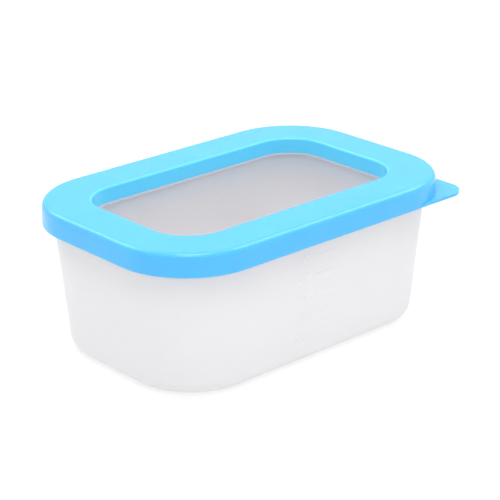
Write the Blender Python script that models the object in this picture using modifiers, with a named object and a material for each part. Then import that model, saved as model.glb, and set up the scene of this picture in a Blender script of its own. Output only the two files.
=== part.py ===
"""Snap-lid food container: a drafted translucent tub under a flexible lid.

The lid is two pieces: a coloured frame, which carries the skirt, the sealing lip, the sunken well
and the pull tab, and a clear window tray that closes the well from below.
Lengths are in metres. The origin is on the floor under the middle of the tub, +X runs along
the long side and +Z is up. The graduated long wall faces -Y and the pull tab is at +X, -Y.
"""

import math
from collections import namedtuple

import bmesh
import bpy
from mathutils import Matrix, Vector

# Overall size, measured over the lid.
LID_LENGTH = 0.192
LID_WIDTH = 0.130
OVERALL_HEIGHT = 0.0766
LID_CORNER_RADIUS = 0.0404

# Gap left between pieces that touch on the real container.
CLEARANCE = 0.0003

# Lid frame: top band and skirt.
LID_THICKNESS = 0.0018
TOP_EDGE_RADIUS = 0.0020
SKIRT_HEIGHT = 0.0116
SKIRT_WALL = 0.0016
SKIRT_DRAFT = math.radians(0.8)
SKIRT_LIP_RADIUS = 0.0005
SNAP_BEAD_DEPTH = 0.0007
SNAP_BEAD_HEIGHT = 0.0024
SNAP_BEAD_DROP = 0.0017

# Lid frame: lip that seals against the inside of the tub.
SEAL_LIP_DEPTH = 0.0045
SEAL_LIP_WALL = 0.0011

# Lid frame: sunken well in the middle.
BAND_WIDTH_X = 0.0230
BAND_WIDTH_Y = 0.0234
WELL_CORNER_RADIUS = 0.0212
WELL_EDGE_RADIUS = 0.0010
WELL_DEPTH = 0.0080
WELL_TAPER = 0.0006
WELL_WALL = 0.0018

# Window tray. Its rim goes on down from the well's wall, and steps up behind the foot of that wall.
WINDOW_THICKNESS = 0.0012
WINDOW_RIM_WALL = 0.0010
WINDOW_RIM_OVERLAP = 0.0036
WINDOW_DROP = 0.0013
WINDOW_OUTER_RADIUS = 0.0014
WINDOW_INNER_RADIUS = 0.0004

# Pull tab on one corner of the skirt.
TAB_THICKNESS = 0.0015
TAB_TIP_RADIUS = 0.0107
TAB_EDGE_INSET = 0.00015
TAB_EDGE_BEVEL = 0.0004
TAB_RISE = 0.0002

# Tub.
TUB_WALL = 0.0012
TUB_DRAFT = math.radians(4.05)
RIM_BEAD_DEPTH = 0.0019
RIM_BEAD_HEIGHT = 0.0034
RIM_BEAD_SLOPE = 0.0013
RIM_EDGE_RADIUS = 0.0006
BASE_RADIUS = 0.0060
FOOT_WIDTH = 0.0045
FOOT_HEIGHT = 0.0008
FLOOR_THICKNESS = 0.0012
GATE_RADIUS = 0.0015
GATE_HEIGHT = 0.0004

# Graduation moulded on the tub's long wall.
MARK_STEP_ML = 100
MARK_LAST_ML = 1000
MARK_LABEL_EVERY = 2
MARK_RIGHT_END = 0.0090
MARK_LONG = 0.0140
MARK_SHORT = 0.0075
MARK_HEIGHT = 0.0006
MARK_RELIEF = 0.0003
FILL_SLICE = 0.0002

# Fineness of the round stretches.
CORNER_STEPS = 12
FILLET_STEPS = 4
TAB_STEPS = 10
SMOOTH_LIMIT = math.radians(40)

# Colours, as linear red, green, blue and alpha.
SKY_BLUE = (0.110, 0.540, 0.905, 1.0)
FROSTED_WHITE = (0.88, 0.89, 0.94, 0.55)
CLEAR_GREY = (0.90, 0.91, 0.93, 0.30)

Outline = namedtuple("Outline", "half_x half_y radius")


def grown(outline, distance):
    """The outline moved outward by distance, which keeps its corners concentric."""
    return Outline(*(size + distance for size in outline))


# Heights and outlines that the pieces share.
SKIRT_BOTTOM = OVERALL_HEIGHT - SKIRT_HEIGHT
LID_UNDERSIDE = OVERALL_HEIGHT - LID_THICKNESS
RIM_TOP = LID_UNDERSIDE - CLEARANCE
LID_EDGE = Outline(LID_LENGTH / 2, LID_WIDTH / 2, LID_CORNER_RADIUS)
SKIRT_LEAN = SKIRT_HEIGHT * math.tan(SKIRT_DRAFT)
WELL_MOUTH = Outline(
    LID_LENGTH / 2 - BAND_WIDTH_X, LID_WIDTH / 2 - BAND_WIDTH_Y, WELL_CORNER_RADIUS
)
WELL_BOTTOM = OVERALL_HEIGHT - WELL_DEPTH
WINDOW_TOP = WELL_BOTTOM - WINDOW_DROP
WINDOW_RIM_TOP = WELL_BOTTOM + WINDOW_RIM_OVERLAP
WINDOW_RIM_INSIDE = WELL_WALL - WINDOW_RIM_WALL
RIM_EDGE = grown(LID_EDGE, -(SKIRT_WALL + SKIRT_LEAN + SNAP_BEAD_DEPTH + CLEARANCE))
FLOOR_TOP = FOOT_HEIGHT + FLOOR_THICKNESS


def tub_face(height, depth=0.0):
    """Outline of the tub at a height and at a depth into its wall. Draft keeps the corner radius."""
    lean = (height - RIM_TOP) * math.tan(TUB_DRAFT)
    wall = grown(RIM_EDGE, -RIM_BEAD_DEPTH - depth)
    return Outline(wall.half_x + lean, wall.half_y + lean, wall.radius)


def arc(across, up, radius, start, end, steps=FILLET_STEPS):
    """Points on an arc across a wall, as pairs (across, up), with angles in degrees."""
    angles = [math.radians(start + (end - start) * step / steps) for step in range(steps + 1)]
    return [(across + radius * math.cos(a), up + radius * math.sin(a)) for a in angles]


def along(outline, points):
    """Sections of a piece whose walls follow the outline: pairs (across, up) become (outline, up)."""
    return [(grown(outline, across), up) for across, up in points]


def ring(outline, height):
    """Points of a rounded rectangle at a height, counter-clockwise from +X."""
    points = []
    for quarter, (side_x, side_y) in enumerate(((1, 1), (-1, 1), (-1, -1), (1, -1))):
        centre = Vector(
            (
                side_x * (outline.half_x - outline.radius),
                side_y * (outline.half_y - outline.radius),
                height,
            )
        )
        for step in range(CORNER_STEPS + 1):
            angle = math.radians(90) * (quarter + step / CORNER_STEPS)
            spoke = Vector((math.cos(angle), math.sin(angle), 0.0))
            points.append(centre + outline.radius * spoke)
    return points


def new_object(name, mesh, collection, material=None):
    """Puts a mesh in the scene as an object, shaded smooth over its round stretches."""
    piece = bpy.data.objects.new(name, mesh)
    if material:
        mesh.materials.append(material)
    mesh.shade_smooth()
    mesh.set_sharp_from_angle(angle=SMOOTH_LIMIT)
    collection.objects.link(piece)
    return piece


def loft(name, sections, closed=False):
    """A mesh skinned through rounded rectangles. Closed, it is a ring; open, its ends are flat."""
    bm = bmesh.new()
    rings = [[bm.verts.new(point) for point in ring(*section)] for section in sections]
    if closed:
        rings.append(rings[0])
    else:
        bm.faces.new(rings[0])
        bm.faces.new(rings[-1])
    for low, high in zip(rings, rings[1:]):
        for here in range(len(low)):
            after = (here + 1) % len(low)
            bm.faces.new((low[here], low[after], high[after], high[here]))
    bmesh.ops.recalc_face_normals(bm, faces=bm.faces)
    mesh = bpy.data.meshes.new(name)
    bm.to_mesh(mesh)
    bm.free()
    return mesh


def plastic(name, colour, roughness):
    """A moulded plastic; an alpha under 1 lets some light through."""
    material = bpy.data.materials.new(name)
    material.use_nodes = True
    shader = material.node_tree.nodes["Principled BSDF"]
    shader.inputs["Base Color"].default_value = colour
    shader.inputs["Roughness"].default_value = roughness
    shader.inputs["Metallic"].default_value = 0.0
    shader.inputs["Alpha"].default_value = colour[3]
    return material


def join(piece, added):
    """Fuses a guide object with a piece by a Boolean union, and hides the guide."""
    added.hide_render = True
    added.display_type = "WIRE"
    union = piece.modifiers.new(added.name, "BOOLEAN")
    union.operation = "UNION"
    union.object = added


# Tub


def tub_sections():
    """The tub's sections, from under the floor, up the outside, over the rim and down the inside."""
    sections = []

    def add(height, depth):
        sections.append((tub_face(height, depth), height))

    foot_inside = BASE_RADIUS + FOOT_WIDTH
    add(FOOT_HEIGHT, foot_inside + FOOT_HEIGHT)
    add(0.0, foot_inside)
    for across, up in arc(-BASE_RADIUS, BASE_RADIUS, BASE_RADIUS, -90, 0, 2 * FILLET_STEPS):
        add(up, -across)
    bead_bottom = RIM_TOP - RIM_BEAD_HEIGHT
    add(bead_bottom, 0.0)
    bead = [(0.0, bead_bottom + RIM_BEAD_SLOPE)]
    bead += arc(-RIM_EDGE_RADIUS, RIM_TOP - RIM_EDGE_RADIUS, RIM_EDGE_RADIUS, 0, 90)
    sections.extend(along(RIM_EDGE, bead))
    for across, up in arc(0.0, RIM_TOP - RIM_EDGE_RADIUS, RIM_EDGE_RADIUS, 90, 180):
        add(up, TUB_WALL - RIM_EDGE_RADIUS - across)
    inner_radius = BASE_RADIUS - TUB_WALL
    for across, up in arc(-inner_radius, FLOOR_TOP + inner_radius, inner_radius, 0, -90):
        add(up, TUB_WALL - across)
    return sections


def cavity_area(height):
    """Area of the tub's inside at a height, for filling."""
    inner_radius = BASE_RADIUS - TUB_WALL
    below = max(0.0, FLOOR_TOP + inner_radius - height)
    fillet = inner_radius - math.sqrt(max(0.0, inner_radius**2 - below**2))
    inside = tub_face(height, TUB_WALL + fillet)
    return 4 * inside.half_x * inside.half_y - (4 - math.pi) * inside.radius**2


def fill_height(millilitres):
    """Height of the surface of this much liquid in the level tub."""
    height, left = FLOOR_TOP, millilitres * 1e-6
    while left > 0.0:
        left -= cavity_area(height + FILL_SLICE / 2) * FILL_SLICE
        height += FILL_SLICE
    return height


def graduation():
    """Ribs on the long wall at each mark; every labelled mark is a long one."""
    bm = bmesh.new()
    for mark in range(1, MARK_LAST_ML // MARK_STEP_ML + 1):
        height = fill_height(mark * MARK_STEP_ML)
        length = MARK_SHORT if mark % MARK_LABEL_EVERY else MARK_LONG
        place = Matrix.Translation(
            (MARK_RIGHT_END - length / 2, -tub_face(height).half_y, height)
        )
        tilt = Matrix.Rotation(TUB_DRAFT, 4, "X")
        size = Matrix.Diagonal((length, 2 * MARK_RELIEF, MARK_HEIGHT, 1.0))
        bmesh.ops.create_cube(bm, size=1.0, matrix=place @ tilt @ size)
    mesh = bpy.data.meshes.new("graduation")
    bm.to_mesh(mesh)
    bm.free()
    return mesh


def gate_mark():
    """Stub under the middle of the floor, where the plastic entered the mould."""
    bm = bmesh.new()
    bmesh.ops.create_cone(
        bm,
        cap_ends=True,
        segments=2 * CORNER_STEPS,
        radius1=GATE_RADIUS,
        radius2=GATE_RADIUS,
        depth=2 * GATE_HEIGHT,
        matrix=Matrix.Translation((0.0, 0.0, FOOT_HEIGHT)),
    )
    mesh = bpy.data.meshes.new("gate_mark")
    bm.to_mesh(mesh)
    bm.free()
    return mesh


def make_tub(parts, cutters):
    tub = new_object(
        "tub", loft("tub", tub_sections()), parts, plastic("frosted_plastic", FROSTED_WHITE, 0.35)
    )
    join(tub, new_object("graduation", graduation(), cutters))
    join(tub, new_object("gate_mark", gate_mark(), cutters))
    return tub


# Lid frame


def skirt_lean(height):
    """How far the skirt's faces lean inward at a height."""
    return (height - SKIRT_BOTTOM) * math.tan(SKIRT_DRAFT)


def snap_bead():
    """Rounded bead inside the skirt, just under the bead of the tub's rim."""
    half = SNAP_BEAD_HEIGHT / 2
    radius = (SNAP_BEAD_DEPTH**2 + half**2) / (2 * SNAP_BEAD_DEPTH)
    spread = math.degrees(math.asin(half / radius))
    middle = RIM_TOP - RIM_BEAD_HEIGHT - SNAP_BEAD_DROP
    across = -SKIRT_WALL - skirt_lean(middle) - SNAP_BEAD_DEPTH + radius
    return arc(across, middle, radius, 180 - spread, 180 + spread)


def seal_lip():
    """The lip follows the tub's inside at a clearance and has a round tip."""
    tip = LID_UNDERSIDE - SEAL_LIP_DEPTH
    tip_radius = SEAL_LIP_WALL / 2
    depth = TUB_WALL + CLEARANCE
    inner = depth + SEAL_LIP_WALL
    sections = [(tub_face(LID_UNDERSIDE, inner), LID_UNDERSIDE)]
    for across, up in arc(-depth - tip_radius, tip + tip_radius, tip_radius, 180, 360):
        sections.append((tub_face(up, -across), up))
    sections.append((tub_face(LID_UNDERSIDE, depth), LID_UNDERSIDE))
    return sections


def lid_frame_sections():
    """Sections of the frame's ring: up the skirt, over the band, into the well and back below."""
    lip = SKIRT_LIP_RADIUS
    top_across = -SKIRT_LEAN - TOP_EDGE_RADIUS
    well_skin = WINDOW_RIM_INSIDE - CLEARANCE
    seat_top = WINDOW_RIM_TOP + CLEARANCE
    foot_radius = (WELL_TAPER + well_skin) / 3

    outside = arc(-lip, SKIRT_BOTTOM + lip, lip, -90, 0)
    outside += arc(top_across, OVERALL_HEIGHT - TOP_EDGE_RADIUS, TOP_EDGE_RADIUS, 0, 90)
    well = arc(WELL_EDGE_RADIUS, OVERALL_HEIGHT - WELL_EDGE_RADIUS, WELL_EDGE_RADIUS, 90, 180)
    well += arc(foot_radius - WELL_TAPER, WELL_BOTTOM + foot_radius, foot_radius, 180, 270)
    well += [(well_skin, WELL_BOTTOM), (well_skin, seat_top)]
    well += [(WELL_WALL, seat_top), (WELL_WALL, LID_UNDERSIDE)]
    inside = [(-SKIRT_WALL - skirt_lean(LID_UNDERSIDE), LID_UNDERSIDE)]
    inside += snap_bead()
    inside += arc(-SKIRT_WALL + lip, SKIRT_BOTTOM + lip, lip, 180, 270)
    return along(LID_EDGE, outside) + along(WELL_MOUTH, well) + seal_lip() + along(LID_EDGE, inside)


def tab_outline():
    """Corner plate between the lid's straight sides; its inner edge runs inside the skirt."""
    side_x = LID_EDGE.half_x - TAB_EDGE_INSET
    side_y = LID_EDGE.half_y - TAB_EDGE_INSET
    corner_x = LID_EDGE.half_x - LID_EDGE.radius
    corner_y = LID_EDGE.half_y - LID_EDGE.radius
    tip = arc(side_x - TAB_TIP_RADIUS, TAB_TIP_RADIUS - side_y, TAB_TIP_RADIUS, -90, 0, TAB_STEPS)
    inner_radius = LID_EDGE.radius - SKIRT_WALL / 2
    inner = arc(corner_x, -corner_y, inner_radius, 0, -90, TAB_STEPS)
    return tip + [(side_x, -corner_y)] + inner + [(corner_x, -side_y)]


def flat_plate(name, outline, thickness, collection):
    """A closed plate with a flat outline, centred on its own plane."""
    curve = bpy.data.curves.new(name, "CURVE")
    curve.dimensions = "2D"
    curve.fill_mode = "BOTH"
    curve.extrude = thickness / 2
    spline = curve.splines.new("POLY")
    spline.points.add(len(outline) - 1)
    for point, (x, y) in zip(spline.points, outline):
        point.co = (x, y, 0.0, 1.0)
    spline.use_cyclic_u = True
    guide = bpy.data.objects.new(name + "_outline", curve)
    collection.objects.link(guide)
    depsgraph = bpy.context.evaluated_depsgraph_get()
    mesh = bpy.data.meshes.new_from_object(guide.evaluated_get(depsgraph))
    bpy.data.objects.remove(guide)
    bm = bmesh.new()
    bm.from_mesh(mesh)
    bmesh.ops.remove_doubles(bm, verts=bm.verts, dist=1e-6)
    bm.to_mesh(mesh)
    bm.free()
    return new_object(name, mesh, collection)


def make_pull_tab(cutters):
    tab = flat_plate("pull_tab", tab_outline(), TAB_THICKNESS, cutters)
    tab.location.z = SKIRT_BOTTOM + TAB_RISE + TAB_THICKNESS / 2
    edge = tab.modifiers.new("soft_edges", "BEVEL")
    edge.width = TAB_EDGE_BEVEL
    edge.segments = 2
    edge.limit_method = "ANGLE"
    return tab


def make_lid_frame(parts, cutters):
    mesh = loft("lid_frame", lid_frame_sections(), closed=True)
    frame = new_object("lid_frame", mesh, parts, plastic("blue_plastic", SKY_BLUE, 0.32))
    join(frame, make_pull_tab(cutters))
    return frame


# Window


def window_sections():
    """The tray's sections, from under its floor, up the outside, over the rim and down to the floor."""
    underside = WINDOW_TOP - WINDOW_THICKNESS
    shoulder = WELL_BOTTOM - CLEARANCE
    bend, cove = WINDOW_OUTER_RADIUS, WINDOW_INNER_RADIUS
    tray = arc(WELL_WALL - bend, underside + bend, bend, -90, 0)
    tray += [(WELL_WALL, WINDOW_RIM_TOP), (WINDOW_RIM_INSIDE, WINDOW_RIM_TOP)]
    tray += [(WINDOW_RIM_INSIDE, shoulder), (-WELL_TAPER, shoulder)]
    tray += arc(-WELL_TAPER - cove, WINDOW_TOP + cove, cove, 0, -90)
    return along(WELL_MOUTH, tray)


def make_window(parts):
    mesh = loft("window_panel", window_sections())
    return new_object("window_panel", mesh, parts, plastic("clear_plastic", CLEAR_GREY, 0.15))


# Assembly


def remove_all_objects():
    for item in list(bpy.data.objects):
        bpy.data.objects.remove(item, do_unlink=True)


def new_collection(name):
    collection = bpy.data.collections.new(name)
    bpy.context.scene.collection.children.link(collection)
    return collection


def build():
    remove_all_objects()
    parts = new_collection("snap_lid_food_container")
    cutters = new_collection("cutters")
    make_tub(parts, cutters)
    lid_lift = bpy.data.objects.new("lid_lift", None)
    lid_lift.location = (0.0, 0.0, RIM_TOP)
    parts.objects.link(lid_lift)
    for piece in (make_lid_frame(parts, cutters), make_window(parts)):
        piece.parent = lid_lift
        piece.matrix_parent_inverse = Matrix.Translation(lid_lift.location).inverted()


build()
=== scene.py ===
"""Looks of the snap-lid food container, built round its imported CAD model.

Each CAD piece is replaced by the same moulding at a finer mesh: the frosted tub with its graduation
and numerals, the sky-blue lid frame with its pull tab, and the clear window tray. Unlike the CAD's,
the lid's edges are rounder, the graduation is fainter and the window's seam is a hairline.
Lengths are in metres, in the CAD model's frame: origin on the floor, +X along the long side, +Z up.
"""

import math
from collections import namedtuple

import bmesh
import bpy
from mathutils import Matrix, Quaternion, Vector


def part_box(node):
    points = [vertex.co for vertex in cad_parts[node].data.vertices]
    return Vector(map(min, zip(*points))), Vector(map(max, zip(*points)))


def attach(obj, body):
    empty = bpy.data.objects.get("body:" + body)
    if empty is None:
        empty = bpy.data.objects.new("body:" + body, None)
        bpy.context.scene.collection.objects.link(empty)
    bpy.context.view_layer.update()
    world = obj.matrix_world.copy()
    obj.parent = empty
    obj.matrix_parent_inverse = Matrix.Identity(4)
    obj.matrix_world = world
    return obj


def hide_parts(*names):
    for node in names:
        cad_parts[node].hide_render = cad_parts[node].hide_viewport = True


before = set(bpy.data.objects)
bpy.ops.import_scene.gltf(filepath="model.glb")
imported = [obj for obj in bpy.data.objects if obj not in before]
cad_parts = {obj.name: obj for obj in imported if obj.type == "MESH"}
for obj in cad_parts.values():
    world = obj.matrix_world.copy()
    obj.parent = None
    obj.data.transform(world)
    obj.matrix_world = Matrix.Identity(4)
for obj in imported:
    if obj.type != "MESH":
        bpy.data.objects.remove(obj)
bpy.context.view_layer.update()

# Sizes that the frame's boxes don't give. The rest is worked out from the boxes, further below.
LID_CORNER_RADIUS = 0.0404
LID_THICKNESS = 0.0018
TOP_EDGE_RADIUS = 0.0030
SKIRT_WALL = 0.0016
SKIRT_DRAFT = math.radians(0.8)
SKIRT_LIP_RADIUS = 0.0005
SNAP_BEAD_DEPTH = 0.0007
SNAP_BEAD_HEIGHT = 0.0024
SNAP_BEAD_DROP = 0.0017
CLEARANCE = 0.0003
SEAL_LIP_DEPTH = 0.0045
SEAL_LIP_WALL = 0.0011
WELL_CORNER_RADIUS = 0.0212
WELL_EDGE_RADIUS = 0.0014
WELL_TAPER = 0.0006
WELL_WALL = 0.0018
WELL_FOOT_RADIUS = 0.00012
WINDOW_THICKNESS = 0.0012
WINDOW_RIM_WALL = 0.0010
WINDOW_RIM_OVERLAP = 0.0036
WINDOW_OUTER_RADIUS = 0.0014
WINDOW_INNER_RADIUS = 0.0004
WINDOW_SEAM = 0.00002
TAB_THICKNESS = 0.0015
TAB_TIP_RADIUS = 0.0107
TAB_EDGE_INSET = 0.00015
TAB_EDGE_BEVEL = 0.0005
TAB_RISE = 0.0002
TUB_WALL = 0.0012
TUB_DRAFT = math.radians(4.05)
RIM_BEAD_DEPTH = 0.0019
RIM_BEAD_HEIGHT = 0.0034
RIM_BEAD_SLOPE = 0.0013
RIM_EDGE_RADIUS = 0.0006
BASE_RADIUS = 0.0060
FOOT_WIDTH = 0.0045
FOOT_HEIGHT = 0.0008
FLOOR_THICKNESS = 0.0012
GATE_RADIUS = 0.0015
GATE_HEIGHT = 0.0004
GATE_BEVEL = 0.0002

# Graduation: long labelled marks and short ones between, with generic numerals.
MARK_STEP_ML = 100
MARK_LAST_ML = 1000
MARK_LABEL_EVERY = 2
MARK_RIGHT_END = 0.0090
MARK_LONG = 0.0140
MARK_SHORT = 0.0075
MARK_HEIGHT = 0.0006
MARK_RELIEF = 0.00015
MARK_BEVEL = 0.0001
FILL_SLICE = 0.0002
NUMERAL_RIGHT_END = -0.0080
NUMERAL_SIZE = 0.0062

# Fineness of the meshes.
CORNER_STEPS = 40
FILLET_STEPS = 8
TAB_STEPS = 24
SMOOTH_LIMIT = math.radians(35)

Outline = namedtuple("Outline", "half_x half_y radius")


def grown(outline, distance):
    """The outline moved outward by distance, which keeps its corners concentric."""
    return Outline(*(size + distance for size in outline))


def outline_of(node, radius):
    """Outline of a CAD node's box, with this corner radius."""
    low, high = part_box(node)
    return Outline((high.x - low.x) / 2, (high.y - low.y) / 2, radius)


LID_EDGE = outline_of("lid_frame", LID_CORNER_RADIUS)
SKIRT_BOTTOM, OVERALL_HEIGHT = (corner.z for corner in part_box("lid_frame"))
SKIRT_LEAN = (OVERALL_HEIGHT - SKIRT_BOTTOM) * math.tan(SKIRT_DRAFT)
LID_UNDERSIDE = OVERALL_HEIGHT - LID_THICKNESS
RIM_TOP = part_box("tub")[1].z
RIM_EDGE = grown(LID_EDGE, outline_of("tub", 0).half_x - LID_EDGE.half_x)
WELL_MOUTH = grown(outline_of("window_panel", WELL_CORNER_RADIUS + WELL_WALL), -WELL_WALL)
WINDOW_UNDERSIDE, WINDOW_RIM_TOP = (corner.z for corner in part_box("window_panel"))
WINDOW_TOP = WINDOW_UNDERSIDE + WINDOW_THICKNESS
WINDOW_RIM_INSIDE = WELL_WALL - WINDOW_RIM_WALL
WELL_BOTTOM = WINDOW_RIM_TOP - WINDOW_RIM_OVERLAP
FLOOR_TOP = FOOT_HEIGHT + FLOOR_THICKNESS


# Mesh tools


def tub_face(height, depth=0.0):
    """Outline of the tub at a height and at a depth into its wall. Draft keeps the corner radius."""
    lean = (height - RIM_TOP) * math.tan(TUB_DRAFT)
    wall = grown(RIM_EDGE, -RIM_BEAD_DEPTH - depth)
    return Outline(wall.half_x + lean, wall.half_y + lean, wall.radius)


def arc(across, up, radius, start, end, steps=FILLET_STEPS):
    """Points on an arc across a wall, as pairs (across, up), with angles in degrees."""
    angles = [math.radians(start + (end - start) * step / steps) for step in range(steps + 1)]
    return [(across + radius * math.cos(a), up + radius * math.sin(a)) for a in angles]


def along(outline, points):
    """Sections of a piece whose walls follow the outline: pairs (across, up) become (outline, up)."""
    return [(grown(outline, across), up) for across, up in points]


def ring(outline, height):
    """Points of a rounded rectangle at a height, counter-clockwise from +X."""
    points = []
    for quarter, (side_x, side_y) in enumerate(((1, 1), (-1, 1), (-1, -1), (1, -1))):
        middle_x = side_x * (outline.half_x - outline.radius)
        middle_y = side_y * (outline.half_y - outline.radius)
        for step in range(CORNER_STEPS + 1):
            angle = math.radians(90) * (quarter + step / CORNER_STEPS)
            x = middle_x + outline.radius * math.cos(angle)
            y = middle_y + outline.radius * math.sin(angle)
            points.append((x, y, height))
    return points


def loft(name, sections, closed=False):
    """A mesh skinned through rounded rectangles. Closed, it is a ring; open, its ends are flat."""
    bm = bmesh.new()
    rings = [[bm.verts.new(point) for point in ring(*section)] for section in sections]
    if closed:
        rings.append(rings[0])
    else:
        bm.faces.new(rings[0])
        bm.faces.new(rings[-1])
    for low, high in zip(rings, rings[1:]):
        for here in range(len(low)):
            after = (here + 1) % len(low)
            bm.faces.new((low[here], low[after], high[after], high[here]))
    bmesh.ops.recalc_face_normals(bm, faces=bm.faces)
    mesh = bpy.data.meshes.new(name)
    bm.to_mesh(mesh)
    bm.free()
    return mesh


def welded(mesh, distance=1e-6):
    """The mesh with coincident points merged."""
    bm = bmesh.new()
    bm.from_mesh(mesh)
    bmesh.ops.remove_doubles(bm, verts=bm.verts, dist=distance)
    bmesh.ops.recalc_face_normals(bm, faces=bm.faces)
    bm.to_mesh(mesh)
    bm.free()
    return mesh


def add_object(name, data):
    """A new object with this data, in the scene."""
    piece = bpy.data.objects.new(name, data)
    bpy.context.scene.collection.objects.link(piece)
    return piece


def evaluated_mesh(piece):
    """A copy of an object's mesh as its modifiers leave it, in world space."""
    bpy.context.view_layer.update()
    depsgraph = bpy.context.evaluated_depsgraph_get()
    mesh = bpy.data.meshes.new_from_object(piece.evaluated_get(depsgraph), depsgraph=depsgraph)
    mesh.transform(piece.matrix_world)
    return mesh


def as_mesh(piece):
    """Turns a curve, a text or an object with modifiers into a plain welded mesh object."""
    mesh = welded(evaluated_mesh(piece))
    name = piece.name
    bpy.data.objects.remove(piece)
    mesh.name = name
    return add_object(name, mesh)


def soften(piece, width, segments=2):
    """Rounds an object's edges."""
    bevel = piece.modifiers.new("soft_edges", "BEVEL")
    bevel.width = width
    bevel.segments = segments
    bevel.limit_method = "ANGLE"


def fuse(piece, added):
    """Fuses another object into a piece."""
    union = piece.modifiers.new("fuse", "BOOLEAN")
    union.operation = "UNION"
    union.object = added
    fused = as_mesh(piece)
    bpy.data.objects.remove(added)
    return fused


def finish_piece(piece, material, body, node):
    """Smooth shading that keeps flat faces flat, the material, and the piece's place in the frame."""
    piece.data.materials.clear()
    piece.data.materials.append(material)
    piece.data.shade_smooth()
    piece.data.set_sharp_from_angle(angle=SMOOTH_LIMIT)
    weighted = piece.modifiers.new("flat_faces_stay_flat", "WEIGHTED_NORMAL")
    weighted.keep_sharp = True
    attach(piece, body)
    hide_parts(node)


# Materials. Colours are linear.

BLUE = (0.067, 0.468, 0.875)
MOTTLED_BLUE = (0.074, 0.486, 0.895)
# Painted light: a lighter blue for the well's inward walls, standing in for light coming through the
# thin wall.
WELL_PAINTED_LIGHT_BLUE = (0.115, 0.640, 0.995)
MILK_WHITE = (0.904, 0.894, 0.907)
CLOUDED_WHITE = (0.918, 0.908, 0.919)
# Painted highlight: a whiter colour for the raised marks and numerals, as if they caught the light.
MARK_PAINTED_HIGHLIGHT_WHITE = (0.960, 0.953, 0.962)
# Partly painted reflection: the frosted rim's own haze, tinted blue as if mirroring the lid's blue
# wall.
RIM_HAZE_PAINTED_REFLECTION_BLUE = (0.68, 0.79, 0.92, 1.0)
WINDOW_TINT = (1.0, 0.960, 0.932, 1.0)
TUB_TINT = (0.97, 0.97, 0.985, 1.0)

# Shares of light: what the tub's wall passes spread and passes straight, and what the window
# reflects seen square on and scatters in its upright rim.
TUB_PASSES_SPREAD = 0.24
TUB_PASSES_STRAIGHT = 0.04
WINDOW_HAZE = 0.03
RIM_FROST = 0.75

# Dot product of an upright face's place and its outward normal, in metres. From the first value down
# to the second, the face counts more and more as turned to the container's middle.
INWARD_START = -0.005
INWARD_FULL = -0.035


def new_material(name):
    """A node material with its Principled shader and output, and the object's own coordinates."""
    material = bpy.data.materials.new(name)
    material.use_nodes = True
    tree = material.node_tree
    place = tree.nodes.new("ShaderNodeTexCoord")
    return material, tree, tree.nodes["Principled BSDF"], place.outputs["Object"]


def noise(tree, place, scale, detail=3.0):
    """Noise with features of about 1 / scale metres."""
    node = tree.nodes.new("ShaderNodeTexNoise")
    node.inputs["Scale"].default_value = scale
    node.inputs["Detail"].default_value = detail
    tree.links.new(place, node.inputs["Vector"])
    return node.outputs["Fac"]


def spread(tree, value, low, high, start=0.3, end=0.7):
    """Maps a value from start..end to low..high. Noise lies mostly within 0.3..0.7."""
    node = tree.nodes.new("ShaderNodeMapRange")
    node.inputs["From Min"].default_value = start
    node.inputs["From Max"].default_value = end
    node.inputs["To Min"].default_value = low
    node.inputs["To Max"].default_value = high
    tree.links.new(value, node.inputs["Value"])
    return node.outputs["Result"]


def mixed_colour(tree, value, low, high):
    """A colour between two, by a value from 0 to 1. The low one may be another node's.

    For colours, the node's two inputs are number 6 and 7, and its output is number 2.
    """
    node = tree.nodes.new("ShaderNodeMix")
    node.data_type = "RGBA"
    if isinstance(low, tuple):
        node.inputs[6].default_value = (*low, 1.0)
    else:
        tree.links.new(low, node.inputs[6])
    node.inputs[7].default_value = (*high, 1.0)
    tree.links.new(value, node.inputs["Factor"])
    return node.outputs[2]


def faces_inward(tree, place):
    """1 on upright faces turned to the container's middle, such as the well's thin wall, else 0."""
    level = tree.nodes.new("ShaderNodeVectorMath")
    level.operation = "MULTIPLY"
    level.inputs[1].default_value = (1.0, 1.0, 0.0)
    tree.links.new(place, level.inputs[0])
    along_normal = tree.nodes.new("ShaderNodeVectorMath")
    along_normal.operation = "DOT_PRODUCT"
    tree.links.new(level.outputs["Vector"], along_normal.inputs[0])
    facing = tree.nodes.new("ShaderNodeNewGeometry")
    tree.links.new(facing.outputs["Normal"], along_normal.inputs[1])
    value = along_normal.outputs["Value"]
    return spread(tree, value, 1.0, 0.0, start=INWARD_FULL, end=INWARD_START)


def raised_marks(tree, place):
    """1 on faces that stand out of the graduated wall's plane, as the marks and numerals do, else 0."""
    outward = tree.nodes.new("ShaderNodeVectorMath")
    outward.operation = "DOT_PRODUCT"
    outward.inputs[1].default_value = (0.0, -1.0, -math.tan(TUB_DRAFT))
    tree.links.new(place, outward.inputs[0])
    wall = tub_face(0.0).half_y
    start, end = wall + 0.3 * MARK_RELIEF, wall + 0.7 * MARK_RELIEF
    return spread(tree, outward.outputs["Value"], 0.0, 1.0, start=start, end=end)


def bump(tree, layers):
    """One normal from several heights, each (value, height in metres)."""
    normal = None
    for value, depth in layers:
        node = tree.nodes.new("ShaderNodeBump")
        node.inputs["Strength"].default_value = 1.0
        node.inputs["Distance"].default_value = depth
        tree.links.new(value, node.inputs["Height"])
        if normal:
            tree.links.new(normal, node.inputs["Normal"])
        normal = node.outputs["Normal"]
    return normal


def calculated(tree, operation, *values):
    """The result of a mathematical operation on other nodes' values."""
    node = tree.nodes.new("ShaderNodeMath")
    node.operation = operation
    for value, socket in zip(values, node.inputs):
        tree.links.new(value, socket)
    return node.outputs["Value"]


def mixed_shader(tree, factor, first, second):
    """A mix of two shaders. The factor is the second one's share, a number or another node's value."""
    node = tree.nodes.new("ShaderNodeMixShader")
    if isinstance(factor, float):
        node.inputs["Fac"].default_value = factor
    else:
        tree.links.new(factor, node.inputs["Fac"])
    tree.links.new(first, node.inputs[1])
    tree.links.new(second, node.inputs[2])
    return node.outputs["Shader"]


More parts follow.
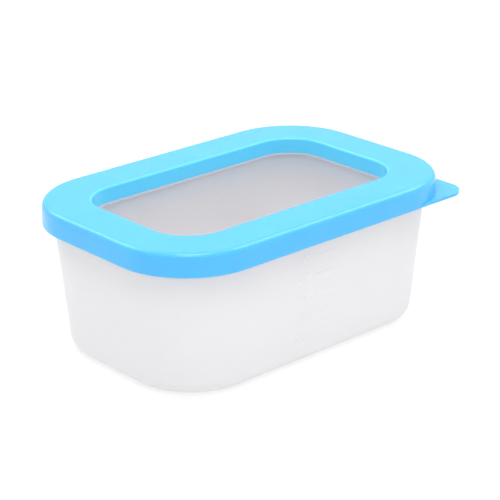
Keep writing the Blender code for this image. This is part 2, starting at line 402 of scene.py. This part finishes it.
def blue_plastic():
    """Soft sky-blue lid plastic: satin, finely grained from the mould, faintly mottled, with painted
    light on the well's inward walls.
    """
    material, tree, shader, place = new_material("blue_lid_plastic")
    mottle = spread(tree, noise(tree, place, scale=55, detail=4), 0.0, 1.0)
    colour = mixed_colour(tree, mottle, BLUE, MOTTLED_BLUE)
    # Painted light: upright faces turned inward, the well's thin wall most of all, get the lighter blue
    # as if lit through.
    colour = mixed_colour(tree, faces_inward(tree, place), colour, WELL_PAINTED_LIGHT_BLUE)
    tree.links.new(colour, shader.inputs["Base Color"])
    satin = spread(tree, noise(tree, place, scale=420), 0.20, 0.27)
    tree.links.new(satin, shader.inputs["Roughness"])
    grain = noise(tree, place, scale=3200, detail=2)
    tree.links.new(bump(tree, [(mottle, 2e-6), (grain, 2e-6)]), shader.inputs["Normal"])
    shader.inputs["IOR"].default_value = 1.5
    shader.inputs["Subsurface Weight"].default_value = 0.25
    shader.inputs["Subsurface Scale"].default_value = 0.0010
    return material


def frosted_plastic():
    """Milky polypropylene: light passes and spreads in it, and its face has a satin grain; its raised
    marks carry a painted highlight.
    """
    material, tree, shader, place = new_material("frosted_tub_plastic")
    cloud = spread(tree, noise(tree, place, scale=38), 0.0, 1.0)
    colour = mixed_colour(tree, cloud, MILK_WHITE, CLOUDED_WHITE)
    # Painted highlight: faces standing out of the wall, the marks and numerals, are whiter as if
    # catching the light.
    colour = mixed_colour(tree, raised_marks(tree, place), colour, MARK_PAINTED_HIGHLIGHT_WHITE)
    tree.links.new(colour, shader.inputs["Base Color"])
    satin = spread(tree, noise(tree, place, scale=500), 0.30, 0.42)
    tree.links.new(satin, shader.inputs["Roughness"])
    grain = noise(tree, place, scale=2600, detail=2)
    tree.links.new(bump(tree, [(cloud, 4e-6), (grain, 7e-6)]), shader.inputs["Normal"])
    shader.inputs["IOR"].default_value = 1.49
    passing = tree.nodes.new("ShaderNodeBsdfTranslucent")
    tree.links.new(colour, passing.inputs["Color"])
    clear = tree.nodes.new("ShaderNodeBsdfTransparent")
    clear.inputs["Color"].default_value = TUB_TINT
    body = mixed_shader(tree, TUB_PASSES_SPREAD, shader.outputs["BSDF"], passing.outputs["BSDF"])
    whole = mixed_shader(tree, TUB_PASSES_STRAIGHT, body, clear.outputs["BSDF"])
    tree.links.new(whole, tree.nodes["Material Output"].inputs["Surface"])
    return material


def clear_plastic():
    """Clear window: see-through, with gloss by angle, a faint haze and a frosted rim tinted blue as a
    painted reflection of the lid.
    """
    material, tree, shader, place = new_material("clear_window_plastic")
    # Painted reflection: the hazy rim's colour is bluish, standing in for the blue lid wall mirrored in
    # it.
    shader.inputs["Base Color"].default_value = RIM_HAZE_PAINTED_REFLECTION_BLUE
    gloss_grain = spread(tree, noise(tree, place, scale=160), 0.10, 0.16)
    tree.links.new(gloss_grain, shader.inputs["Roughness"])
    waviness = noise(tree, place, scale=70, detail=2)
    tree.links.new(bump(tree, [(waviness, 1.5e-5)]), shader.inputs["Normal"])
    shader.inputs["IOR"].default_value = 1.5
    clear = tree.nodes.new("ShaderNodeBsdfTransparent")
    clear.inputs["Color"].default_value = WINDOW_TINT
    fresnel = tree.nodes.new("ShaderNodeFresnel")
    fresnel.inputs["IOR"].default_value = 1.5
    facing = tree.nodes.new("ShaderNodeNewGeometry")
    front = spread(tree, facing.outputs["Backfacing"], 1.0, 0.0, start=0.0, end=1.0)
    gloss = calculated(tree, "MULTIPLY", fresnel.outputs["Fac"], front)
    gloss = spread(tree, gloss, WINDOW_HAZE, 1.0, start=0.0, end=1.0)
    split = tree.nodes.new("ShaderNodeSeparateXYZ")
    tree.links.new(facing.outputs["Normal"], split.inputs["Vector"])
    level = calculated(tree, "ABSOLUTE", split.outputs["Z"])
    frosted_rim = spread(tree, level, RIM_FROST, 0.0, start=0.2, end=0.7)
    cover = calculated(tree, "MAXIMUM", gloss, frosted_rim)
    whole = mixed_shader(tree, cover, clear.outputs["BSDF"], shader.outputs["BSDF"])
    tree.links.new(whole, tree.nodes["Material Output"].inputs["Surface"])
    return material


# Tub


def tub_sections():
    """The tub's sections, from under the floor, up the outside, over the rim and down the inside."""
    sections = []

    def add(height, depth):
        sections.append((tub_face(height, depth), height))

    foot_inside = BASE_RADIUS + FOOT_WIDTH
    add(FOOT_HEIGHT, foot_inside + FOOT_HEIGHT)
    add(0.0, foot_inside)
    for across, up in arc(-BASE_RADIUS, BASE_RADIUS, BASE_RADIUS, -90, 0, 2 * FILLET_STEPS):
        add(up, -across)
    bead_bottom = RIM_TOP - RIM_BEAD_HEIGHT
    add(bead_bottom, 0.0)
    bead = [(0.0, bead_bottom + RIM_BEAD_SLOPE)]
    bead += arc(-RIM_EDGE_RADIUS, RIM_TOP - RIM_EDGE_RADIUS, RIM_EDGE_RADIUS, 0, 90)
    sections.extend(along(RIM_EDGE, bead))
    for across, up in arc(0.0, RIM_TOP - RIM_EDGE_RADIUS, RIM_EDGE_RADIUS, 90, 180):
        add(up, TUB_WALL - RIM_EDGE_RADIUS - across)
    inner_radius = BASE_RADIUS - TUB_WALL
    for across, up in arc(-inner_radius, FLOOR_TOP + inner_radius, inner_radius, 0, -90):
        add(up, TUB_WALL - across)
    return sections


def cavity_area(height):
    """Area of the tub's inside at a height, for filling."""
    inner_radius = BASE_RADIUS - TUB_WALL
    below = max(0.0, FLOOR_TOP + inner_radius - height)
    fillet = inner_radius - math.sqrt(max(0.0, inner_radius**2 - below**2))
    inside = tub_face(height, TUB_WALL + fillet)
    return 4 * inside.half_x * inside.half_y - (4 - math.pi) * inside.radius**2


def fill_height(millilitres):
    """Height of the surface of this much liquid in the level tub."""
    height, left = FLOOR_TOP, millilitres * 1e-6
    while left > 0.0:
        left -= cavity_area(height + FILL_SLICE / 2) * FILL_SLICE
        height += FILL_SLICE
    return height


def on_wall(x, height):
    """Place on the graduated wall's face: local +X along the wall, local +Y up it, local +Z out."""
    stand = Matrix.Rotation(math.radians(90) + TUB_DRAFT, 4, "X")
    return Matrix.Translation((x, -tub_face(height).half_y, height)) @ stand


def graduation_marks():
    """Raised ribs at each mark."""
    bm = bmesh.new()
    for mark in range(1, MARK_LAST_ML // MARK_STEP_ML + 1):
        length = MARK_SHORT if mark % MARK_LABEL_EVERY else MARK_LONG
        place = on_wall(MARK_RIGHT_END - length / 2, fill_height(mark * MARK_STEP_ML))
        size = Matrix.Diagonal((length, MARK_HEIGHT, 2 * MARK_RELIEF, 1.0))
        bmesh.ops.create_cube(bm, size=1.0, matrix=place @ size)
    mesh = bpy.data.meshes.new("graduation_marks")
    bm.to_mesh(mesh)
    bm.free()
    marks = add_object("graduation_marks", mesh)
    soften(marks, MARK_BEVEL)
    return as_mesh(marks)


def numeral(millilitres):
    """Raised number beside a labelled mark."""
    text = bpy.data.curves.new(f"numeral_{millilitres}", "FONT")
    text.body = str(millilitres)
    text.size = NUMERAL_SIZE
    text.align_x = "RIGHT"
    text.align_y = "CENTER"
    text.extrude = MARK_RELIEF
    text.resolution_u = 4
    raised = add_object(text.name, text)
    raised.matrix_world = on_wall(NUMERAL_RIGHT_END, fill_height(millilitres))
    return as_mesh(raised)


def gate_mark():
    """Stub under the middle of the floor, where the plastic entered the mould."""
    bm = bmesh.new()
    bmesh.ops.create_cone(
        bm,
        cap_ends=True,
        segments=CORNER_STEPS,
        radius1=GATE_RADIUS,
        radius2=GATE_RADIUS,
        depth=2 * GATE_HEIGHT,
        matrix=Matrix.Translation((0.0, 0.0, FOOT_HEIGHT)),
    )
    mesh = bpy.data.meshes.new("gate_mark")
    bm.to_mesh(mesh)
    bm.free()
    stub = add_object("gate_mark", mesh)
    soften(stub, GATE_BEVEL)
    return as_mesh(stub)


def make_tub(material):
    """The tub with its gate mark, graduation and numerals fused on."""
    tub = add_object("frosted_tub", loft("frosted_tub", tub_sections()))
    tub = fuse(tub, gate_mark())
    tub = fuse(tub, graduation_marks())
    step = MARK_STEP_ML * MARK_LABEL_EVERY
    for millilitres in range(step, MARK_LAST_ML + 1, step):
        tub = fuse(tub, numeral(millilitres))
    finish_piece(tub, material, "tub", "tub")


# Lid frame


def skirt_lean(height):
    """How far the skirt's faces lean inward at a height."""
    return (height - SKIRT_BOTTOM) * math.tan(SKIRT_DRAFT)


def snap_bead():
    """Rounded bead inside the skirt, just under the bead of the tub's rim."""
    half = SNAP_BEAD_HEIGHT / 2
    radius = (SNAP_BEAD_DEPTH**2 + half**2) / (2 * SNAP_BEAD_DEPTH)
    turn = math.degrees(math.asin(half / radius))
    middle = RIM_TOP - RIM_BEAD_HEIGHT - SNAP_BEAD_DROP
    across = -SKIRT_WALL - skirt_lean(middle) - SNAP_BEAD_DEPTH + radius
    return arc(across, middle, radius, 180 - turn, 180 + turn)


def seal_lip():
    """The lip follows the tub's inside at a clearance and has a round tip."""
    tip = LID_UNDERSIDE - SEAL_LIP_DEPTH
    tip_radius = SEAL_LIP_WALL / 2
    depth = TUB_WALL + CLEARANCE
    sections = [(tub_face(LID_UNDERSIDE, depth + SEAL_LIP_WALL), LID_UNDERSIDE)]
    for across, up in arc(-depth - tip_radius, tip + tip_radius, tip_radius, 180, 360):
        sections.append((tub_face(up, -across), up))
    sections.append((tub_face(LID_UNDERSIDE, depth), LID_UNDERSIDE))
    return sections


def lid_frame_sections():
    """Sections of the frame's ring: up the skirt, over the band, into the well and back below."""
    lip = SKIRT_LIP_RADIUS
    top_across = -SKIRT_LEAN - TOP_EDGE_RADIUS
    well_skin = WINDOW_RIM_INSIDE - CLEARANCE
    seat_top = WINDOW_RIM_TOP + CLEARANCE

    outside = arc(-lip, SKIRT_BOTTOM + lip, lip, -90, 0)
    outside += arc(top_across, OVERALL_HEIGHT - TOP_EDGE_RADIUS, TOP_EDGE_RADIUS, 0, 90)
    well = arc(WELL_EDGE_RADIUS, OVERALL_HEIGHT - WELL_EDGE_RADIUS, WELL_EDGE_RADIUS, 90, 180)
    foot = WELL_FOOT_RADIUS
    well += arc(foot - WELL_TAPER, WELL_BOTTOM + foot, foot, 180, 270)
    well += [(well_skin, WELL_BOTTOM), (well_skin, seat_top)]
    well += [(WELL_WALL, seat_top), (WELL_WALL, LID_UNDERSIDE)]
    inside = [(-SKIRT_WALL - skirt_lean(LID_UNDERSIDE), LID_UNDERSIDE)]
    inside += snap_bead()
    inside += arc(-SKIRT_WALL + lip, SKIRT_BOTTOM + lip, lip, 180, 270)
    return along(LID_EDGE, outside) + along(WELL_MOUTH, well) + seal_lip() + along(LID_EDGE, inside)


def tab_outline():
    """Corner plate between the lid's straight sides; its inner edge runs inside the skirt."""
    side_x = LID_EDGE.half_x - TAB_EDGE_INSET
    side_y = LID_EDGE.half_y - TAB_EDGE_INSET
    corner_x = LID_EDGE.half_x - LID_EDGE.radius
    corner_y = LID_EDGE.half_y - LID_EDGE.radius
    tip = arc(side_x - TAB_TIP_RADIUS, TAB_TIP_RADIUS - side_y, TAB_TIP_RADIUS, -90, 0, TAB_STEPS)
    inner_radius = LID_EDGE.radius - SKIRT_WALL / 2
    inner = arc(corner_x, -corner_y, inner_radius, 0, -90, TAB_STEPS)
    return tip + [(side_x, -corner_y)] + inner + [(corner_x, -side_y)]


def make_pull_tab():
    """The tab's plate, from its outline, with soft edges."""
    curve = bpy.data.curves.new("pull_tab", "CURVE")
    curve.dimensions = "2D"
    curve.fill_mode = "BOTH"
    curve.extrude = TAB_THICKNESS / 2
    outline = tab_outline()
    spline = curve.splines.new("POLY")
    spline.points.add(len(outline) - 1)
    for point, (x, y) in zip(spline.points, outline):
        point.co = (x, y, 0.0, 1.0)
    spline.use_cyclic_u = True
    plate = add_object("pull_tab", curve)
    plate.location.z = SKIRT_BOTTOM + TAB_RISE + TAB_THICKNESS / 2
    plate = as_mesh(plate)
    soften(plate, TAB_EDGE_BEVEL, 3)
    return as_mesh(plate)


def make_lid_frame(material):
    """The lid's ring with the pull tab fused on."""
    lid = add_object("blue_lid_frame", loft("blue_lid_frame", lid_frame_sections(), closed=True))
    lid = fuse(lid, make_pull_tab())
    finish_piece(lid, material, "lid", "lid_frame")


# Window


def window_sections():
    """The tray's sections, from under its floor, up the outside, over the rim and down to the floor."""
    shoulder = WELL_BOTTOM - WINDOW_SEAM
    bend, cove = WINDOW_OUTER_RADIUS, WINDOW_INNER_RADIUS
    tray = arc(WELL_WALL - bend, WINDOW_UNDERSIDE + bend, bend, -90, 0)
    tray += [(WELL_WALL, WINDOW_RIM_TOP), (WINDOW_RIM_INSIDE, WINDOW_RIM_TOP)]
    tray += [(WINDOW_RIM_INSIDE, shoulder), (-WELL_TAPER, shoulder)]
    tray += arc(-WELL_TAPER - cove, WINDOW_TOP + cove, cove, 0, -90)
    return along(WELL_MOUTH, tray)


def make_window(material):
    """The clear tray sunk in the lid."""
    window = add_object("clear_window", loft("clear_window", window_sections()))
    finish_piece(window, material, "lid", "window_panel")


# Studio

CAMERA_AZIMUTH = math.radians(-41.62)
CAMERA_ELEVATION = math.radians(21.89)
CAMERA_ROLL = math.radians(-0.55)
CAMERA_DISTANCE = 0.891
CAMERA_LENS = 126.7
CAMERA_SHIFT = (0.0137, 0.0082)
FLOOR_SIZE = 12.0
FLOOR_GLOW = 0.6
FLOOR_WHITE = (0.385, 0.385, 0.385)
CLOUDED_FLOOR_WHITE = (0.395, 0.395, 0.395)
HORIZON_LIGHT = 0.93
ZENITH_LIGHT = 0.68

# Name, place, side in metres and power in watts. The edge softboxes draw the bright lines on the
# lid's rounded edges.
SOFTBOXES = (
    ("overhead_softbox", (0.0, 0.0, 1.24), 0.5, 3.8),
    ("front_top_softbox", (-0.41, -0.46, 1.19), 0.5, 4.2),
    ("right_edge_softbox", (0.81, -0.13, 1.04), 0.7, 5.0),
    ("back_edge_softbox", (-0.18, 0.90, 0.96), 0.7, 4.6),
    ("right_fill_softbox", (0.0, -1.15, 0.65), 0.9, 0.6),
)
SOFTBOX_AIM = Vector((0.0, 0.0, 0.04))


def make_camera():
    """Camera turned round the middle of the container."""
    camera = add_object("camera", bpy.data.cameras.new("camera"))
    camera.data.sensor_width = 36.0
    camera.data.lens = CAMERA_LENS
    camera.data.shift_x, camera.data.shift_y = CAMERA_SHIFT
    camera.data.clip_start = 0.01
    back = Vector(
        (
            math.sin(CAMERA_AZIMUTH) * math.cos(CAMERA_ELEVATION),
            -math.cos(CAMERA_AZIMUTH) * math.cos(CAMERA_ELEVATION),
            math.sin(CAMERA_ELEVATION),
        )
    )
    middle = Vector((0.0, 0.0, OVERALL_HEIGHT / 2))
    aim = (-back).to_track_quat("-Z", "Y") @ Quaternion((0, 0, 1), CAMERA_ROLL)
    camera.location = middle + CAMERA_DISTANCE * back
    camera.rotation_euler = aim.to_euler()
    bpy.context.scene.camera = camera


def softbox(name, place, side, power):
    """Square softbox aimed at the container."""
    light = bpy.data.lights.new(name, "AREA")
    light.shape = "SQUARE"
    light.size = side
    light.energy = power
    lamp = add_object(name, light)
    lamp.location = place
    lamp.rotation_euler = (SOFTBOX_AIM - Vector(place)).to_track_quat("-Z", "Y").to_euler()


def make_floor():
    """Plain pale floor, lit a little from below like a light table, so shadows on it stay faint."""
    bm = bmesh.new()
    bmesh.ops.create_grid(bm, x_segments=1, y_segments=1, size=FLOOR_SIZE / 2)
    mesh = bpy.data.meshes.new("floor")
    bm.to_mesh(mesh)
    bm.free()
    material, tree, shader, place = new_material("pale_floor")
    cloud = spread(tree, noise(tree, place, scale=3), 0.0, 1.0)
    colour = mixed_colour(tree, cloud, FLOOR_WHITE, CLOUDED_FLOOR_WHITE)
    tree.links.new(colour, shader.inputs["Base Color"])
    shader.inputs["Roughness"].default_value = 0.9
    shader.inputs["Specular IOR Level"].default_value = 0.0
    shader.inputs["Emission Color"].default_value = (1.0, 1.0, 1.0, 1.0)
    shader.inputs["Emission Strength"].default_value = FLOOR_GLOW
    mesh.materials.append(material)
    add_object("floor", mesh)


def make_world():
    """White surroundings, a little darker overhead, where the softboxes take over."""
    world = bpy.data.worlds.new("studio")
    world.use_nodes = True
    tree = world.node_tree
    place = tree.nodes.new("ShaderNodeTexCoord")
    split = tree.nodes.new("ShaderNodeSeparateXYZ")
    tree.links.new(place.outputs["Generated"], split.inputs["Vector"])
    strength = spread(tree, split.outputs["Z"], HORIZON_LIGHT, ZENITH_LIGHT, start=0.0, end=1.0)
    tree.links.new(strength, tree.nodes["Background"].inputs["Strength"])
    tree.nodes["Background"].inputs["Color"].default_value = (1.0, 1.0, 1.0, 1.0)
    bpy.context.scene.world = world


def make_studio():
    """Soft, even light from white surroundings and softboxes, most of it from above."""
    make_world()
    for softbox_facts in SOFTBOXES:
        softbox(*softbox_facts)
    make_floor()
    bpy.context.scene.view_settings.view_transform = "Standard"


make_camera()
make_tub(frosted_plastic())
make_lid_frame(blue_plastic())
make_window(clear_plastic())
make_studio()
